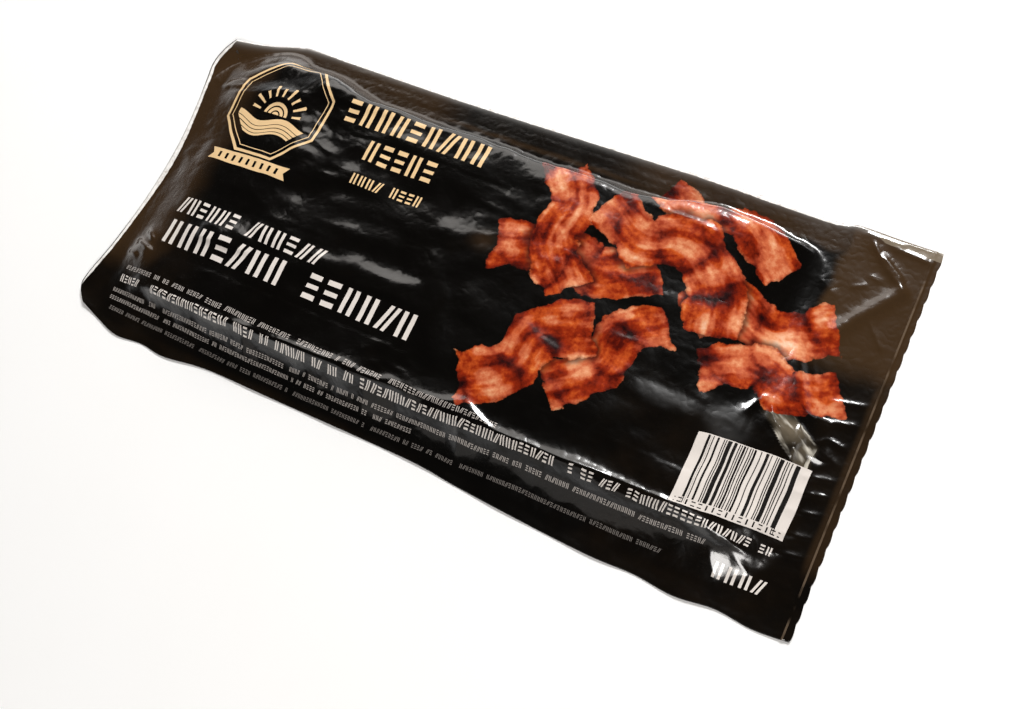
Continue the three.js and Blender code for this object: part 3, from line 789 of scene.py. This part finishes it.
# %% Node helper
class Recipe:
    """Adds nodes to one material. Every call hands back the new node's output."""

    def __init__(self, name):
        self.material = bpy.data.materials.new(name)
        self.material.use_nodes = True
        self.tree = self.material.node_tree
        self.shader = self.tree.nodes["Principled BSDF"]

    def feed(self, socket, value):
        if isinstance(value, bpy.types.NodeSocket):
            self.tree.links.new(value, socket)
        else:
            socket.default_value = value

    def math(self, operation, *values):
        node = self.tree.nodes.new("ShaderNodeMath")
        node.operation = operation
        for socket, value in zip(node.inputs, values):
            self.feed(socket, value)
        return node.outputs[0]

    def vector(self, operation, *values):
        node = self.tree.nodes.new("ShaderNodeVectorMath")
        node.operation = operation
        for socket, value in zip(node.inputs, values):
            self.feed(socket, value)
        return node.outputs["Value" if operation in ("LENGTH", "DOT_PRODUCT") else "Vector"]

    def field(self, name, part="Vector"):
        node = self.tree.nodes.new("ShaderNodeAttribute")
        node.attribute_name = name
        return node.outputs[part]

    def number(self, name):
        return self.field(name, "Fac")

    def parts(self, vector):
        node = self.tree.nodes.new("ShaderNodeSeparateXYZ")
        self.feed(node.inputs[0], vector)
        return node.outputs

    def join(self, x, y, z=0.0):
        node = self.tree.nodes.new("ShaderNodeCombineXYZ")
        for socket, value in zip(node.inputs, (x, y, z)):
            self.feed(socket, value)
        return node.outputs[0]

    def object_mm(self):
        node = self.tree.nodes.new("ShaderNodeTexCoord")
        return self.vector("SCALE", node.outputs["Object"], (0, 0, 0), (0, 0, 0), 1 / MM)

    def noise(self, place, scale, detail=2.0, roughness=0.5):
        node = self.tree.nodes.new("ShaderNodeTexNoise")
        self.feed(node.inputs["Vector"], place)
        node.inputs["Scale"].default_value = scale
        node.inputs["Detail"].default_value = detail
        node.inputs["Roughness"].default_value = roughness
        return node.outputs["Fac"]

    def chance(self, place):
        node = self.tree.nodes.new("ShaderNodeTexWhiteNoise")
        node.noise_dimensions = "2D"
        self.feed(node.inputs["Vector"], place)
        return node.outputs["Value"]

    def ease(self, value, start, stop):
        """0 below start, 1 above stop, smooth between."""
        node = self.tree.nodes.new("ShaderNodeMapRange")
        node.interpolation_type = "SMOOTHSTEP"
        self.feed(node.inputs["Value"], value)
        node.inputs["From Min"].default_value = start
        node.inputs["From Max"].default_value = stop
        return node.outputs["Result"]

    def mix(self, amount, first, second):
        node = self.tree.nodes.new("ShaderNodeMix")
        node.data_type = "RGBA"
        self.feed(node.inputs["Factor"], amount)
        for socket, value in zip((node.inputs[6], node.inputs[7]), (first, second)):
            self.feed(socket, value if isinstance(value, bpy.types.NodeSocket) else (*value, 1))
        return node.outputs[2]

    def ramp(self, value, stops):
        node = self.tree.nodes.new("ShaderNodeValToRGB")
        self.feed(node.inputs[0], value)
        elements = node.color_ramp.elements
        while len(elements) < len(stops):
            elements.new(0.5)
        for element, (at, color) in zip(elements, stops):
            element.position = at
            element.color = (*color, 1)
        return node.outputs[0]

    def near(self, value, middle, reach):
        """1 within reach of the middle, 0 beyond."""
        return self.math("COMPARE", value, middle, reach)

    def both(self, first, second):
        return self.math("MULTIPLY", first, second)

    def either(self, first, second):
        return self.math("MAXIMUM", first, second)

    def unless(self, first, second):
        return self.math("MULTIPLY", first, self.math("SUBTRACT", 1.0, second))

    def bump(self, height, distance, strength, normal=None):
        node = self.tree.nodes.new("ShaderNodeBump")
        self.feed(node.inputs["Height"], height)
        node.inputs["Distance"].default_value = distance
        node.inputs["Strength"].default_value = strength
        if normal is not None:
            self.feed(node.inputs["Normal"], normal)
        return node.outputs[0]


# %% [markdown]
# ## The rows of small marks
# The real print has rows of words. Here each row is a rhythm of plain strokes of the same
# height and weight: pairs of bars, three short bars across, slanting bars and gaps, picked by
# chance. All rows share one set of strokes. Each row only says where it is, so a place is first
# turned into its place within its row, and the strokes are worked out once.

# %% Inks and rows
WHITE_INK = (0.74, 0.68, 0.63)
GOLD_INK = (0.80, 0.56, 0.30)
GREY_INK = (0.44, 0.40, 0.37)
DIM_INK = (0.20, 0.18, 0.165)
ROWS_OF_MARKS = [  # from x, to x, base y at both ends, height, ink; tall marks have no gaps
    (-67.7, -11.5, 34.9, 34.7, 8.0, GOLD_INK), (-54.0, -25.8, 23.4, 23.4, 7.6, GOLD_INK),
    (-53.5, -41.0, 14.2, 14.3, 3.8, GOLD_INK), (-38.0, -26.0, 14.3, 14.4, 3.8, GOLD_INK),
    (-110.3, -82.5, -15.5, -15.9, 6.0, WHITE_INK), (-78.0, -47.2, -16.0, -16.4, 6.0, WHITE_INK),
    (-110.0, -57.0, -27.4, -27.7, 8.8, WHITE_INK), (-49.5, -6.5, -27.7, -27.9, 8.8, WHITE_INK),
    (-118.5, 31.0, -41.3, -42.3, 1.7, GREY_INK), (-119.0, 117.6, -46.1, -46.0, 2.5, WHITE_INK),
    (-120.3, 99.7, -50.0, -49.8, 1.35, GREY_INK), (-120.3, 4.3, -52.7, -52.7, 1.3, GREY_INK),
    (-119.4, 88.9, -56.1, -56.1, 1.3, DIM_INK), (104.0, 119.5, -57.0, -57.0, 4.4, WHITE_INK),
]
MARK_PITCH, TALL_MARK = 0.82, 3.5
ROW_GAP = 400                         # keeps the chances of one row apart from the next

# Strokes in a cell that is 1 wide and 1 tall: where they are and half their width.
PAIR_BARS, PAIR_HALF = (0.24, 0.68), 0.11
CROSS_BARS, CROSS_SPAN = ((0.10, 0.10), (0.90, 0.10), (0.5, 0.085)), (0.46, 0.33)
SLANT, SLANT_BARS, SLANT_HALF = -0.40, (0.11, 0.47), 0.10
# Chances of each kind, as a middle and half a range. What is left over stays a gap.
PAIR_CHANCE, CROSS_CHANCE, SLANT_CHANCE = (0.29, 0.17), (0.62, 0.16), (0.89, 0.11)
print(len(ROWS_OF_MARKS), "rows of marks")


def rows_of_marks(recipe, place):
    """Ink colour times coverage, and coverage, of every row."""
    within, ink, x_y = None, None, recipe.parts(place)
    for number, (x0, x1, y0, y1, tall, color) in enumerate(ROWS_OF_MARKS):
        lean = (y1 - y0) / (x1 - x0)
        up = recipe.vector("DOT_PRODUCT", place, (-lean / tall, 1 / tall, 0))
        up = recipe.math("ADD", up, (lean * x0 - y0) / tall)
        inside = recipe.both(recipe.near(up, 0.5, 0.5),
                             recipe.near(x_y[0], (x0 + x1) / 2, (x1 - x0) / 2))
        cells = max(1, round((x1 - x0) / (tall * MARK_PITCH))) / (x1 - x0)
        run = recipe.math("MULTIPLY_ADD", x_y[0], cells, -x0 * cells + ROW_GAP * (number + 1))
        cell = recipe.join(run, up, 2.0 if tall > TALL_MARK else 1.0)
        cell = recipe.vector("SCALE", cell, (0, 0, 0), (0, 0, 0), inside)
        tinted = recipe.vector("SCALE", color, (0, 0, 0), (0, 0, 0), inside)
        within = cell if within is None else recipe.vector("ADD", within, cell)
        ink = tinted if ink is None else recipe.vector("ADD", ink, tinted)
    run, up, kind = recipe.parts(within)
    slot = recipe.math("FRACT", run)
    pick = recipe.chance(recipe.join(recipe.math("FLOOR", run), 0.5))
    pick = recipe.either(pick, recipe.math("MULTIPLY", recipe.math("GREATER_THAN", kind, 1.5), 0.2))
    pair = recipe.either(*(recipe.near(slot, bar, PAIR_HALF) for bar in PAIR_BARS))
    foot, head, middle = (recipe.near(up, *bar) for bar in CROSS_BARS)
    cross = recipe.either(recipe.either(foot, head), middle)
    cross = recipe.both(cross, recipe.near(slot, *CROSS_SPAN))
    lean_slot = recipe.math("MULTIPLY_ADD", up, SLANT, slot)
    slant = recipe.either(*(recipe.near(lean_slot, bar, SLANT_HALF) for bar in SLANT_BARS))
    marks = recipe.both(pair, recipe.near(pick, *PAIR_CHANCE))
    marks = recipe.either(marks, recipe.both(cross, recipe.near(pick, *CROSS_CHANCE)))
    marks = recipe.either(marks, recipe.both(slant, recipe.near(pick, *SLANT_CHANCE)))
    return ink, recipe.both(marks, recipe.math("GREATER_THAN", kind, 0.5))


# %% [markdown]
# ## The gold badge
# A badge in gold line stands at the far left: an eight-sided frame round a rising sun over
# fields, with a straight ribbon below. It could be drawn as an image, but each of its shapes is
# only a distance that is compared with a size, which the shader can do.

# %% Badge: the sun and the fields
BADGE = dict(x=-93.2, y=32.0, frame=19.3, line=0.5, inset=1.9, fine_line=0.16)
SUN = dict(y=-3.5, radius=5.6, horizon=0.4, band=0.9, band_line=0.28)
RAYS = dict(count=18, half=0.30, start=7.2, short=10.6, more=1.6)
FIELDS = dict(y=-8.4, half_tall=3.1, reach=15.2, wave=0.30, roll=1.3)
FURROWS = dict(y=-9.0, half_tall=1.6, step=0.75, line=0.16)


def badge_sun(recipe, x, y):
    """A half sun of rings, and rays of two lengths."""
    above = recipe.math("SUBTRACT", y, SUN["y"])
    reach = recipe.math("SQRT", recipe.math(
        "ADD", recipe.both(x, x), recipe.both(above, above)))
    skyward = recipe.math("GREATER_THAN", above, SUN["horizon"])
    turn = recipe.math("MULTIPLY", recipe.math("ARCTAN2", x, above), RAYS["count"] / math.pi)
    spoke = recipe.near(recipe.math("PINGPONG", turn, 1.0), 0.0, RAYS["half"])
    every_other = recipe.math("PINGPONG", recipe.math("MULTIPLY", turn, 0.5), 1.0)
    length = recipe.math("MULTIPLY_ADD", every_other, RAYS["more"], RAYS["short"])
    rays = recipe.both(spoke, recipe.both(recipe.math("GREATER_THAN", reach, RAYS["start"]),
                                          recipe.math("LESS_THAN", reach, length)))
    disc = recipe.math("LESS_THAN", reach, SUN["radius"])
    bands = recipe.near(recipe.math("PINGPONG", reach, SUN["band"]), 0.0, SUN["band_line"])
    return recipe.both(recipe.either(recipe.unless(disc, bands), rays), skyward)


def badge_fields(recipe, x, y, edge):
    """A rolling field with furrows, cut off inside the frame."""
    swing = recipe.math("SINE", recipe.math("MULTIPLY", x, FIELDS["wave"]))
    ground = recipe.math("SUBTRACT", y, recipe.math("MULTIPLY", swing, FIELDS["roll"]))
    field = recipe.both(recipe.near(ground, FIELDS["y"], FIELDS["half_tall"]),
                        recipe.math("LESS_THAN", edge, FIELDS["reach"]))
    furrow = recipe.near(recipe.math("PINGPONG", ground, FURROWS["step"]), 0.0, FURROWS["line"])
    return recipe.unless(field, recipe.both(furrow, recipe.near(
        ground, FURROWS["y"], FURROWS["half_tall"])))


# %% Badge: the ribbon and the whole
RIBBON = dict(y=9.2, half_wide=17.5, half_tall=2.3, notch=1.6)
PIPS = dict(half_wide=0.55, half_tall=1.15, step=3.2, margin=3.0)


def badge_ribbon(recipe, x, y, wide):
    """A straight ribbon with notched tails and a row of pips."""
    up = recipe.math("SUBTRACT", y, RIBBON["y"] - BADGE["y"])
    rise = recipe.math("ABSOLUTE", up)
    tail = recipe.math("MULTIPLY_ADD", rise, RIBBON["notch"] / RIBBON["half_tall"],
                       RIBBON["half_wide"] - RIBBON["notch"])
    ribbon = recipe.both(recipe.math("LESS_THAN", wide, tail),
                         recipe.math("LESS_THAN", rise, RIBBON["half_tall"]))
    beat = recipe.math("PINGPONG", x, PIPS["step"] / 2)
    pip = recipe.both(recipe.near(beat, 0.0, PIPS["half_wide"]),
                      recipe.near(up, 0.0, PIPS["half_tall"]))
    pip = recipe.both(pip, recipe.math("LESS_THAN", wide, RIBBON["half_wide"] - PIPS["margin"]))
    return recipe.unless(ribbon, pip)


def badge(recipe, place):
    """Gold coverage of the badge and its ribbon."""
    x, y, _ = recipe.parts(recipe.vector("SUBTRACT", place, (BADGE["x"], BADGE["y"], 0)))
    wide, tall = recipe.math("ABSOLUTE", x), recipe.math("ABSOLUTE", y)
    corner = recipe.math("MULTIPLY", recipe.math("ADD", wide, tall), math.sqrt(0.5))
    edge = recipe.either(recipe.either(wide, tall), corner)
    gold = recipe.near(edge, BADGE["frame"], BADGE["line"])
    gold = recipe.either(gold, recipe.near(edge, BADGE["frame"] - BADGE["inset"],
                                           BADGE["fine_line"]))
    gold = recipe.either(gold, badge_sun(recipe, x, y))
    gold = recipe.either(gold, badge_fields(recipe, x, y, edge))
    return recipe.either(gold, badge_ribbon(recipe, x, y, wide))


print("badge, mm:", 2 * BADGE["frame"], "across, ribbon", 2 * RIBBON["half_wide"], "long")

# %% [markdown]
# ## The striped box
# A shop reads a box of bars. These bars come by chance from narrow columns, so they say
# nothing, but they have the real widths: the narrowest is about a third of a millimetre.

# %% Striped box
STRIPES = dict(x=86.2, y=-42.4, lean=0.057, wide=32.6, tall=22.2, module=0.30)
BARS = dict(chance=0.55, group=5.0, dark=0.2, bare=0.7, bare_half=0.1, margin=3.0,
            raised=1.05, short=1.3)
GUARDS = dict(inset=3.6, half=0.55, step=0.3, line=0.12, margin=0.5)
TICKS = dict(step=1.9, middle=1.25, half_tall=0.8, thin=0.12, long=0.3, low=0.65, high=1.8,
             half_line=0.18, margin=1.2)
BAR_SEED, TICK_SEED = 7.5, 3.5


def box_bars(recipe, x, up):
    """Bars of one to a few modules, by chance."""
    column = recipe.math("DIVIDE", x, STRIPES["module"])
    ink = recipe.chance(recipe.join(recipe.math("FLOOR", column), BAR_SEED))
    bars = recipe.math("GREATER_THAN", ink, BARS["chance"])
    beat = recipe.math("FRACT", recipe.math("DIVIDE", column, BARS["group"]))
    bars = recipe.either(bars, recipe.math("LESS_THAN", beat, BARS["dark"]))
    bars = recipe.unless(bars, recipe.near(beat, BARS["bare"], BARS["bare_half"]))
    half_wide, half_tall = STRIPES["wide"] / 2, STRIPES["tall"] / 2
    bars = recipe.both(bars, recipe.near(x, half_wide, half_wide - BARS["margin"]))
    return recipe.both(bars, recipe.near(up, half_tall + BARS["raised"],
                                         half_tall - BARS["short"]))


def box_guards(recipe, x, up):
    """A pair of longer bars at each end."""
    half_tall = STRIPES["tall"] / 2
    guard = recipe.either(
        recipe.near(x, GUARDS["inset"], GUARDS["half"]),
        recipe.near(x, STRIPES["wide"] - GUARDS["inset"], GUARDS["half"]))
    line = recipe.near(recipe.math("PINGPONG", x, GUARDS["step"]), 0.0, GUARDS["line"])
    guard = recipe.both(guard, line)
    return recipe.both(guard, recipe.near(up, half_tall, half_tall - GUARDS["margin"]))


def box_ticks(recipe, x, up):
    """A row of plain ticks, upright or in level pairs, along the box's near edge."""
    pitch = recipe.math("DIVIDE", x, TICKS["step"])
    slot = recipe.math("FRACT", pitch)
    chance = recipe.chance(recipe.join(recipe.math("FLOOR", pitch), TICK_SEED))
    pick = recipe.math("GREATER_THAN", chance, 0.5)
    upright = recipe.both(recipe.near(slot, 0.5, TICKS["thin"]),
                          recipe.near(up, TICKS["middle"], TICKS["half_tall"]))
    level = recipe.both(recipe.near(slot, 0.5, TICKS["long"]), recipe.either(
        recipe.near(up, TICKS["low"], TICKS["half_line"]),
        recipe.near(up, TICKS["high"], TICKS["half_line"])))
    ticks = recipe.either(recipe.both(pick, upright), recipe.unless(level, pick))
    half_wide = STRIPES["wide"] / 2
    return recipe.both(ticks, recipe.near(x, half_wide, half_wide - TICKS["margin"]))


def striped_box(recipe, place):
    """Coverage of the white box, and of the dark bars and marks on it."""
    x, y, _ = recipe.parts(recipe.vector("SUBTRACT", place, (STRIPES["x"], STRIPES["y"], 0)))
    up = recipe.math("MULTIPLY_ADD", x, -STRIPES["lean"], y)
    half_wide, half_tall = STRIPES["wide"] / 2, STRIPES["tall"] / 2
    box = recipe.both(recipe.near(x, half_wide, half_wide), recipe.near(up, half_tall, half_tall))
    marks = recipe.either(box_guards(recipe, x, up), box_ticks(recipe, x, up))
    return box, recipe.either(box_bars(recipe, x, up), marks)


print("striped box, mm:", STRIPES["wide"], "by", STRIPES["tall"])

# %% [markdown]
# ## Lean, fat and burnt edges
# Cooked streaky bacon has long streaks of red lean and pale fat, so the noise that picks the
# colour is stretched along the rasher. A ruffled rasher is light on its crests and dark in its
# hollows, and its thin edges are burnt.

# %% Paint of the rashers
LEAN = [(0.0, (0.012, 0.001, 0.001)), (0.24, (0.08, 0.004, 0.001)), (0.44, (0.27, 0.020, 0.003)),
        (0.62, (0.53, 0.080, 0.013)), (0.80, (0.72, 0.22, 0.055)), (1.0, (0.84, 0.46, 0.23))]
FAT = [(0.0, (0.018, 0.002, 0.001)), (0.24, (0.11, 0.008, 0.003)), (0.44, (0.34, 0.043, 0.015)),
       (0.62, (0.57, 0.13, 0.050)), (0.80, (0.75, 0.31, 0.15)), (1.0, (0.88, 0.56, 0.38))]
BURNT = (0.030, 0.004, 0.002)
STREAK_STRETCH = (0.045, 0.26, 0)     # streaks are long and narrow
SHADE_SHARE, STREAK_SHARE, BROAD_SHARE, GRAIN_SHARE = 0.62, 0.9, 0.7, 0.6
BURNT_EDGE, RAGGED = 0.9, 1.8


def rasher_paint(recipe, layer, grain, broad):
    """Colour and coverage of one layer of rashers, and how near its edge the outside is."""
    place, depth = recipe.field(layer + "_rasher"), recipe.number(layer + "_depth")
    flat = recipe.vector("MULTIPLY", place, STREAK_STRETCH)
    streak = recipe.noise(recipe.vector("ADD", flat, (0, 0, len(layer))), 1.0, 2.0, 0.5)
    tone = recipe.math("MULTIPLY_ADD", recipe.parts(place)[2], SHADE_SHARE, -0.02)
    for noise_value, share in ((streak, STREAK_SHARE), (broad, BROAD_SHARE), (grain, GRAIN_SHARE)):
        tone = recipe.math("SUBTRACT", tone, share / 2)
        tone = recipe.math("MULTIPLY_ADD", noise_value, share, tone)
    fat = recipe.math("MULTIPLY_ADD", recipe.math("SUBTRACT", broad, 0.5), 1.5, streak)
    color = recipe.mix(recipe.ease(fat, 0.46, 0.62),
                       recipe.ramp(tone, LEAN), recipe.ramp(tone, FAT))
    ragged = recipe.math("MULTIPLY_ADD", recipe.math("SUBTRACT", grain, 0.5), RAGGED, depth)
    burnt = recipe.math("SUBTRACT", 1.0, recipe.ease(ragged, 0.0, BURNT_EDGE))
    color = recipe.mix(recipe.math("MULTIPLY", burnt, 0.4), color, BURNT)
    return color, recipe.ease(ragged, -0.15, 0.15), recipe.ease(ragged, -2.6, 0.2)


# %% [markdown]
# ## The printed film
# The film itself is dark, thin and glossy. With meat behind it it looks black, and where only
# film lies behind, light comes through and it looks brown. Its gloss is uneven from handling,
# and fine creases, too small for the mesh, break its reflections up.

# %% Film: black and brown, and the crumpled patch with its painted sheen and glints
BLACK_FILM = (0.0011, 0.0007, 0.0003)
BROWN_FILM = (0.044, 0.023, 0.009)
# The pale colour of the crumpled patch: its creased film, with its sheen painted in.
CREASED_FILM_AND_SHEEN = (0.13, 0.105, 0.072)
# Painted glints on the creases of the crumpled patch.
PAINTED_CREASE_GLINT = (0.60, 0.56, 0.48)
MOTTLE = 0.30

recipe = Recipe("film")
place_mm = recipe.object_mm()
print_place = recipe.field("print_place")
mottle = recipe.noise(place_mm, 0.09, 4.0, 0.6)
backed = recipe.math("ADD", recipe.number("backing"),
                     recipe.math("MULTIPLY_ADD", mottle, MOTTLE, -MOTTLE / 2))
color = recipe.mix(recipe.ease(backed, 0.0, 1.0), BROWN_FILM, BLACK_FILM)

grain = recipe.noise(place_mm, 0.50, 4.0, 0.6)
broad = recipe.noise(place_mm, 0.10, 2.0, 0.5)
# crumple is the patch where the creased film and its sheen are painted pale.
crumple = recipe.number("crumple_sheen_patch")
color = recipe.mix(recipe.math("MULTIPLY", crumple, recipe.ease(broad, 0.25, 0.65)),
                   color, CREASED_FILM_AND_SHEEN)
# Painted glints: a pale line along the patch's rim, and streaks across the patch.
painted_rim_glint = recipe.both(recipe.near(crumple, 0.45, 0.22), recipe.ease(broad, 0.45, 0.6))
color = recipe.mix(painted_rim_glint, color, PAINTED_CREASE_GLINT)
down_patch = recipe.vector("DOT_PRODUCT", place_mm, (0.10, -0.06, 0))
over_patch = recipe.vector("DOT_PRODUCT", place_mm, (0.22, 0.36, 0))
painted_glint_streaks = recipe.ease(recipe.noise(recipe.join(down_patch, over_patch), 1.0, 2.0), 0.50, 0.68)
color = recipe.mix(recipe.both(painted_glint_streaks, crumple), color, PAINTED_CREASE_GLINT)
print("bare film:", len(recipe.tree.nodes), "nodes")

# %% Film: the print
BAR_INK = (0.012, 0.011, 0.010)
SHADOW = 0.8

lower, lower_cover, _ = rasher_paint(recipe, "lower", grain, broad)
upper, upper_cover, shadow = rasher_paint(recipe, "upper", grain, broad)
lower = recipe.mix(recipe.math("MULTIPLY", shadow, SHADOW), lower, BURNT)
color = recipe.mix(lower_cover, color, lower)
color = recipe.mix(upper_cover, color, upper)
ink, inked = rows_of_marks(recipe, print_place)
color = recipe.mix(inked, color, ink)
color = recipe.mix(badge(recipe, print_place), color, GOLD_INK)
box, bars = striped_box(recipe, print_place)
color = recipe.mix(box, color, recipe.mix(bars, WHITE_INK, BAR_INK))
print("printed film:", len(recipe.tree.nodes), "nodes")

# %% Film: the clear strip with its painted edge shade, and the weld
CLEAR_FILM, DULL_STRIP = (0.93, 0.91, 0.88), (0.42, 0.37, 0.33)
CORNER_STRIP = (0.20, 0.16, 0.115)
# A thin painted shade along the curled outer edge of the clear strip, toward both ends of the left
# edge.
PAINTED_EDGE_SHADE, PAINTED_EDGE_SHADE_WIDTH = (0.05, 0.04, 0.035), 0.30
WELD_LINE, WELD_WIDTH, WELD_SHOWS = (0.17, 0.12, 0.08), 0.28, 0.6
PRINT_WANDER, PRINT_BLUR = 0.5, 0.08

edge_noise = recipe.math("MULTIPLY_ADD", recipe.noise(place_mm, 0.5), PRINT_WANDER,
                         -PRINT_WANDER / 2)
print_edge = recipe.math("ADD", recipe.number("print_depth"), edge_noise)
printed = recipe.ease(print_edge, -PRINT_BLUR, PRINT_BLUR)
dulled = recipe.ease(recipe.noise(place_mm, 0.35, 4.0, 0.7), 0.4, 0.9)
strip_tone = recipe.mix(dulled, CLEAR_FILM, DULL_STRIP)
across, upward, _ = recipe.parts(place_mm)
strip_tone = recipe.mix(recipe.ease(across, 100, 110), strip_tone, CORNER_STRIP)
# The painted shade of the curled edge: the outer 0.3 mm of the left edge, toward its ends.
edge_shade_mask = recipe.both(recipe.near(recipe.number("left_inset"), 0.0, PAINTED_EDGE_SHADE_WIDTH),
                        recipe.either(recipe.ease(upward, 30, 36), recipe.ease(upward, -20, -30)))
strip_tone = recipe.mix(edge_shade_mask, strip_tone, PAINTED_EDGE_SHADE)
color = recipe.mix(recipe.number("far_rim"), color, CLEAR_FILM)
color = recipe.mix(printed, strip_tone, color)
weld = recipe.near(recipe.number("right_inset"), SEAL["inset"], WELD_WIDTH)
weld = recipe.both(weld, recipe.ease(recipe.noise(place_mm, 0.12), 0.30, 0.55))
color = recipe.mix(recipe.math("MULTIPLY", weld, WELD_SHOWS), color, WELD_LINE)
recipe.feed(recipe.shader.inputs["Base Color"], color)
print("film's colour:", len(recipe.tree.nodes), "nodes")

# %% Film: gloss and fine creases
GLOSS = dict(rough=0.09, uneven=0.22, rubbed=0.30, coat=0.5, index=1.5)
CREASE_BUMP, PEBBLE_BUMP = (0.0006, 0.35), (0.0001, 0.05)       # depth in metres, strength

smudge = recipe.noise(place_mm, 0.05, 5.0, 0.65)
rough = recipe.math("MULTIPLY_ADD", smudge, GLOSS["uneven"], GLOSS["rough"])
rough = recipe.math("MULTIPLY_ADD", recipe.number("rubbed"), GLOSS["rubbed"], rough)
recipe.feed(recipe.shader.inputs["Roughness"], rough)
recipe.shader.inputs["IOR"].default_value = GLOSS["index"]
recipe.shader.inputs["Coat Weight"].default_value = GLOSS["coat"]
recipe.shader.inputs["Coat Roughness"].default_value = GLOSS["rough"]
creases = recipe.math("ABSOLUTE", recipe.math("SUBTRACT", recipe.noise(place_mm, 0.28, 1.0), 0.5))
pebble = recipe.noise(place_mm, 0.9, 2.0, 0.5)
normal = recipe.bump(creases, *CREASE_BUMP)
normal = recipe.bump(pebble, *PEBBLE_BUMP, normal)
recipe.feed(recipe.shader.inputs["Normal"], normal)
film_mesh.materials.append(recipe.material)
print("film material:", len(recipe.tree.nodes), "nodes")

# %% [markdown]
# ## The underside
# Nobody prints the backing film of such a pack, and it lies against the table, so it is duller
# and more wrinkled than the top. One more material on the underside's faces says that with few
# nodes.

# %% Underside
UNDER_FILM, UNDER_CLOUD = (0.016, 0.013, 0.011), (0.034, 0.026, 0.019)
UNDER_GLOSS = dict(rough=0.22, uneven=0.25)

recipe = Recipe("backing_film")
place_mm = recipe.object_mm()
cloud = recipe.noise(place_mm, 0.06, 4.0, 0.6)
recipe.feed(recipe.shader.inputs["Base Color"], recipe.mix(cloud, UNDER_FILM, UNDER_CLOUD))
rough = recipe.math("MULTIPLY_ADD", cloud, UNDER_GLOSS["uneven"], UNDER_GLOSS["rough"])
recipe.feed(recipe.shader.inputs["Roughness"], rough)
wrinkles = recipe.math("ABSOLUTE", recipe.math("SUBTRACT", recipe.noise(place_mm, 0.12, 4.0), 0.5))
recipe.feed(recipe.shader.inputs["Normal"], recipe.bump(wrinkles, 0.0015, 0.6))
film_mesh.materials.append(recipe.material)
print("underside material:", len(recipe.tree.nodes), "nodes")

# %% [markdown]
# ## Floor and light
# The floor is a plain pale board. A black gloss film shows its lights more than itself, so the
# lights are what gives it its shape. A small bright window on the far side makes the sharp
# glints on folds. Large dim panels on the far and near sides give the grey sheen of the slopes.
# Nothing bright stands where the flat top would mirror it, so the top stays black. The room is
# dim above and pale low down all round, like a sweep of white paper.

# %% Floor
FLOOR_SIZE, FLOOR_DROP = 2.0, 0.05 * MM      # just clear of the underside, so neither flickers
FLOOR_TONES = (0.94, 0.94, 0.93), (0.96, 0.96, 0.96)

scene = bpy.context.scene
scene.view_settings.view_transform = "Standard"

bm = bmesh.new()
bmesh.ops.create_grid(bm, x_segments=1, y_segments=1, size=FLOOR_SIZE)
bmesh.ops.translate(bm, verts=bm.verts, vec=(0, 0, -FLOOR_DROP))
floor_mesh = bpy.data.meshes.new("floor")
bm.to_mesh(floor_mesh)
bm.free()
floor = bpy.data.objects.new("floor", floor_mesh)
bpy.context.collection.objects.link(floor)
recipe = Recipe("floor")
haze = recipe.noise(recipe.object_mm(), 0.02, 3.0, 0.5)
recipe.feed(recipe.shader.inputs["Base Color"], recipe.mix(haze, *FLOOR_TONES))
recipe.shader.inputs["Roughness"].default_value = 0.6
floor_mesh.materials.append(recipe.material)
print("floor:", 2 * FLOOR_SIZE, "m across")


# %% Lights
def softbox(name, place, size, radiance, tint=(1, 1, 1)):
    """A soft light, its size in metres, facing the pack. Radiance is what a mirror would show."""
    data = bpy.data.lights.new(name, "AREA")
    data.shape, data.size, data.size_y = "RECTANGLE", size[0], size[1]
    data.energy = radiance * math.pi * size[0] * size[1]
    data.color = tint
    light = bpy.data.objects.new(name, data)
    bpy.context.collection.objects.link(light)
    light.location = place
    light.rotation_mode = "QUATERNION"
    light.rotation_quaternion = (Vector((0, 0, 0.01)) - Vector(place)).to_track_quat("-Z", "Y")
    return light


softbox("far_window", (0.0, 0.9, 0.75), (0.27, 0.27), 54)
softbox("far_wall", (-0.4, 1.1, 0.7), (1.4, 0.9), 2.2, (1.0, 0.95, 0.90))
softbox("near_wall", (0.3, -1.2, 0.5), (2.0, 0.35), 0.4, (1.0, 0.94, 0.88))
softbox("near_fill", (0.8, -0.9, 1.0), (0.55, 0.55), 15, (1.0, 0.97, 0.94))
print(len(bpy.data.lights), "lights")

# %% The room
BACKDROP, DIM_ROOM = 0.62, 0.025      # brightness low down all round, and of the room above
BACKDROP_TOP = 0.10, 0.26             # sine of the elevation where one fades into the other

world = bpy.data.worlds.new("world")
scene.world = world
world.use_nodes = True
nodes, links = world.node_tree.nodes, world.node_tree.links
direction = nodes.new("ShaderNodeTexCoord")
parts = nodes.new("ShaderNodeSeparateXYZ")
fade = nodes.new("ShaderNodeMapRange")
fade.interpolation_type = "SMOOTHSTEP"
for name, value in (("From Min", BACKDROP_TOP[0]), ("From Max", BACKDROP_TOP[1]),
                    ("To Min", BACKDROP), ("To Max", DIM_ROOM)):
    fade.inputs[name].default_value = value
links.new(direction.outputs["Generated"], parts.inputs["Vector"])
links.new(parts.outputs["Z"], fade.inputs["Value"])
links.new(fade.outputs["Result"], nodes["Background"].inputs["Color"])
print("room:", len(nodes), "nodes")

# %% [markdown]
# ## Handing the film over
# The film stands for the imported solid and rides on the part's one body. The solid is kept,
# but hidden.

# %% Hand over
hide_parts("pack")
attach(film, "root")
